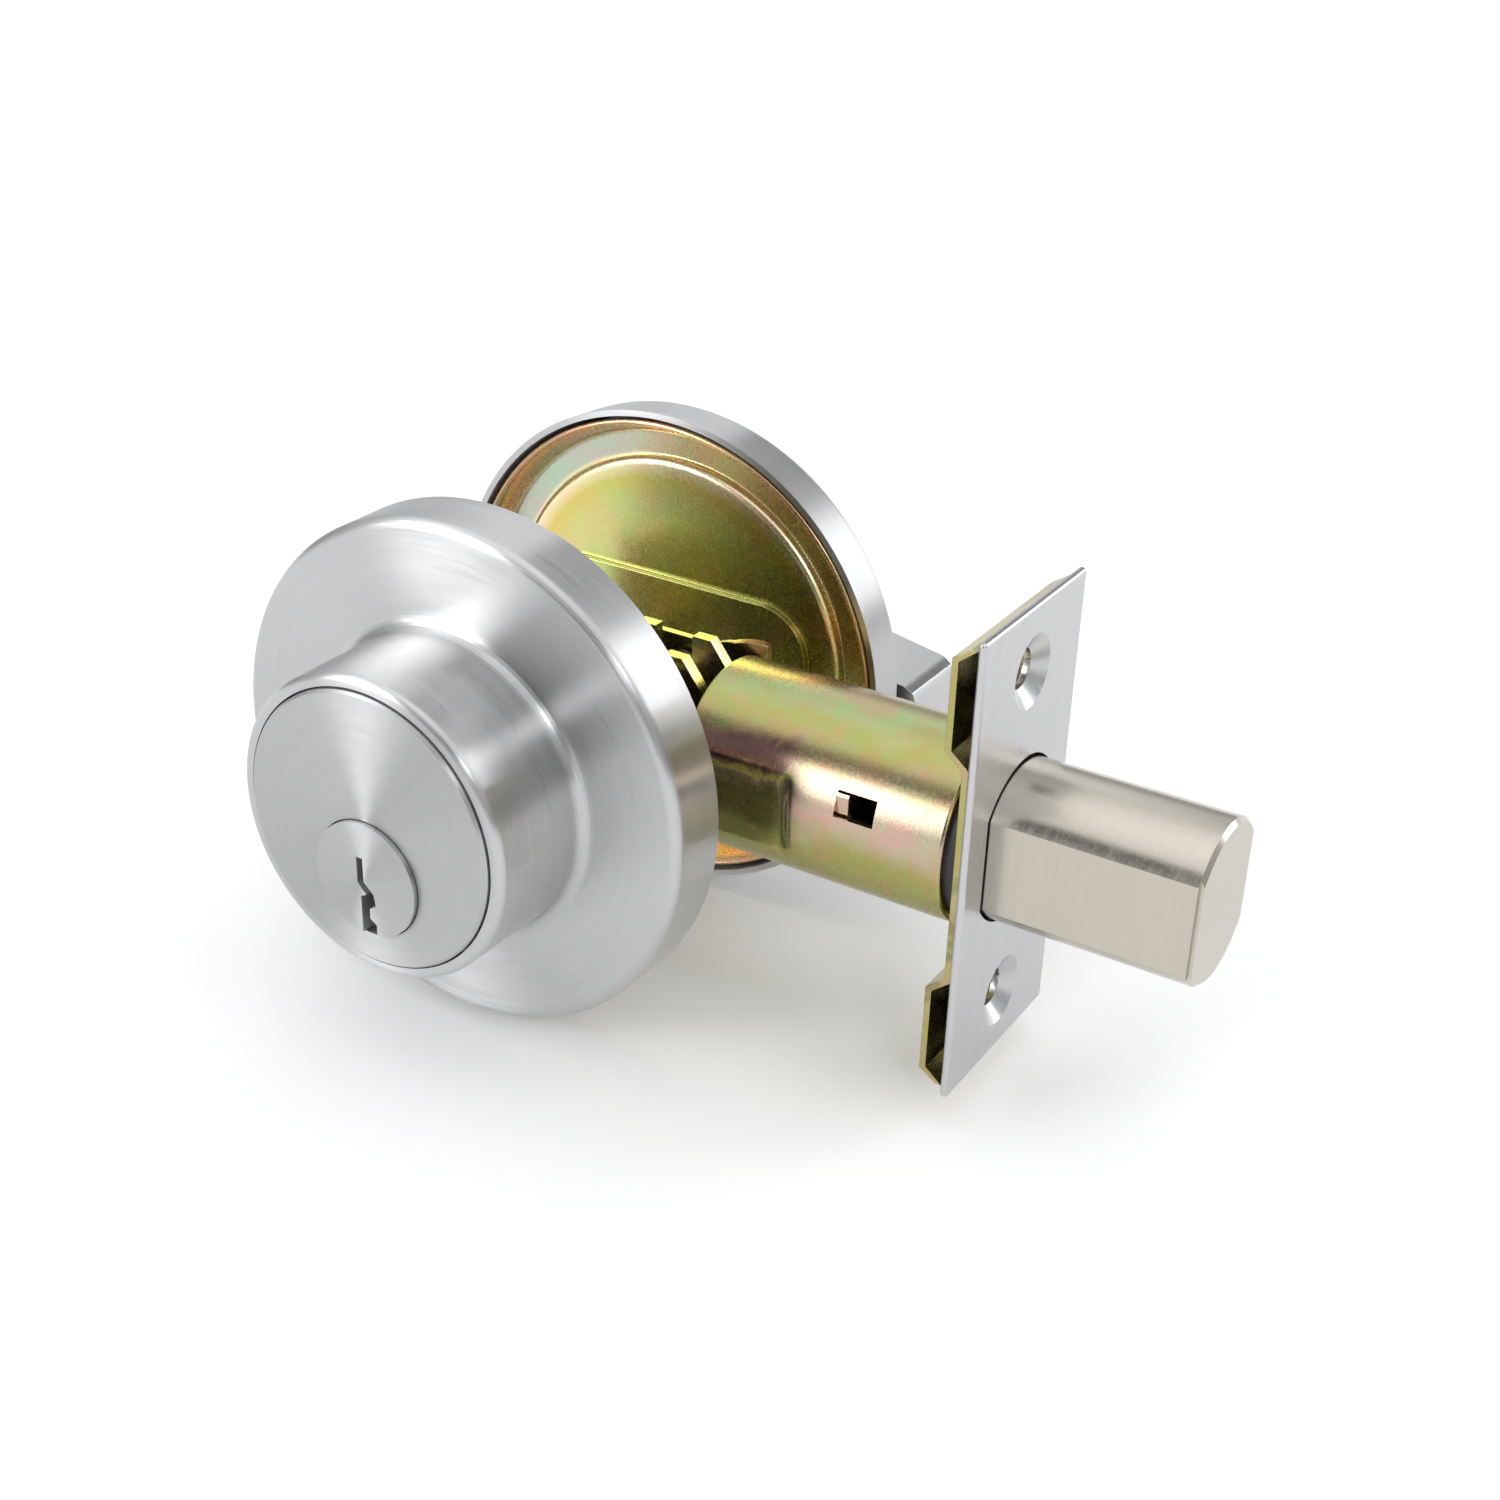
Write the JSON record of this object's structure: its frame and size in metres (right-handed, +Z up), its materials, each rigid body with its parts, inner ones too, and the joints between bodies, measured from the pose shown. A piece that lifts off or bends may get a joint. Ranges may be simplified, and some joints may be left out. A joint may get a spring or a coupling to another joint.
{
  "type": "deadbolt door lock",
  "caption": "Tubular deadbolt with a keyed cylinder in a round flanged trim, a round inside rosette with a lever thumb turn, and a flat-sided round bolt behind a faceplate.",
  "frame": {"origin": "where the centre line of the bolt crosses the centre line of the door's cross bore, half way through the door", "axes": "+X along the bolt's throw towards the strike, -Y to the keyed outside, +Y to the room, +Z up"},
  "size_m": [0.1174, 0.0826, 0.0652],
  "materials": {
    "satin_chrome": "satin chrome plate",
    "satin_chrome_face": "satin chrome plate, straight brushed on the face",
    "satin_nickel": "satin nickel plate",
    "dichromate": "zinc plate with yellow iridescent dichromate",
    "zinc_cast": "bare zinc casting",
    "zinc_plated": "bright zinc plate",
    "hardened_steel": "dark hardened steel",
    "spring_steel": "bright spring steel",
    "brass": "turned brass",
    "black_bush": "black moulded nylon"
  },
  "bodies": {
    "lock_body": {"trim_collar": "satin_chrome", "cylinder_housing": "satin_chrome_face", "driver_pins": "brass", "pin_springs": "spring_steel", "chamber_plugs": "brass", "anti_drill_pins": "hardened_steel", "housing_cap": "dichromate", "cap_screws": "zinc_plated", "through_bolts": "dichromate", "faceplate": "satin_chrome", "back_plate": "dichromate", "front_bush": "black_bush", "bolt_tube": "dichromate", "case_side_outer": "dichromate", "case_side_inner": "dichromate", "case_spacers": "zinc_plated", "detent_spring": "spring_steel", "mounting_plate": "dichromate", "rosette": "satin_chrome", "wave_washer": "spring_steel"},
    "turn": {"thumb_turn": "satin_chrome", "turn_spindle": "dichromate", "spindle_clip": "spring_steel"},
    "crank_set": {"crank": "zinc_cast", "crank_pin": "hardened_steel"},
    "tail_blade": {"tailpiece": "zinc_cast"},
    "bolt": {"bolt_bar": "satin_nickel", "saw_pin": "hardened_steel", "bolt_tail": "dichromate", "tail_pin": "hardened_steel"},
    "plug": {"key_plug": "satin_chrome_face", "plug_clip": "spring_steel", "key_pins": "brass"}
  },
  "joints": [
    {"name": "thumb_turn_swing", "type": "hinge", "parent": "lock_body", "child": "turn", "pos_m": [0, 0.0246, -0.0059], "axis": [0, -1, 0], "range_deg": [0, 90]},
    {"name": "crank_swing", "type": "hinge", "parent": "lock_body", "child": "crank_set", "pos_m": [0, 0, -0.0059], "axis": [0, -1, 0], "range_deg": [0, 90]},
    {"name": "tailpiece_swing", "type": "hinge", "parent": "lock_body", "child": "tail_blade", "pos_m": [0, -0.0148, -0.0059], "axis": [0, -1, 0], "range_deg": [0, 90]},
    {"name": "bolt_slide", "type": "slide", "parent": "lock_body", "child": "bolt", "axis": [1, 0, 0], "range_m": [-0.0245, 0]},
    {"name": "key_turn", "type": "hinge", "parent": "lock_body", "child": "plug", "pos_m": [0, -0.03, -0.0059], "axis": [0, -1, 0], "range_deg": [-90, 90]}
  ],
  "couplings": [
    {"joint": "crank_swing", "follows": "thumb_turn_swing", "ratio": 1},
    {"joint": "tailpiece_swing", "follows": "thumb_turn_swing", "ratio": 1},
    {"joint": "bolt_slide", "follows": "thumb_turn_swing", "m_per_rad": -0.015597}
  ]
}
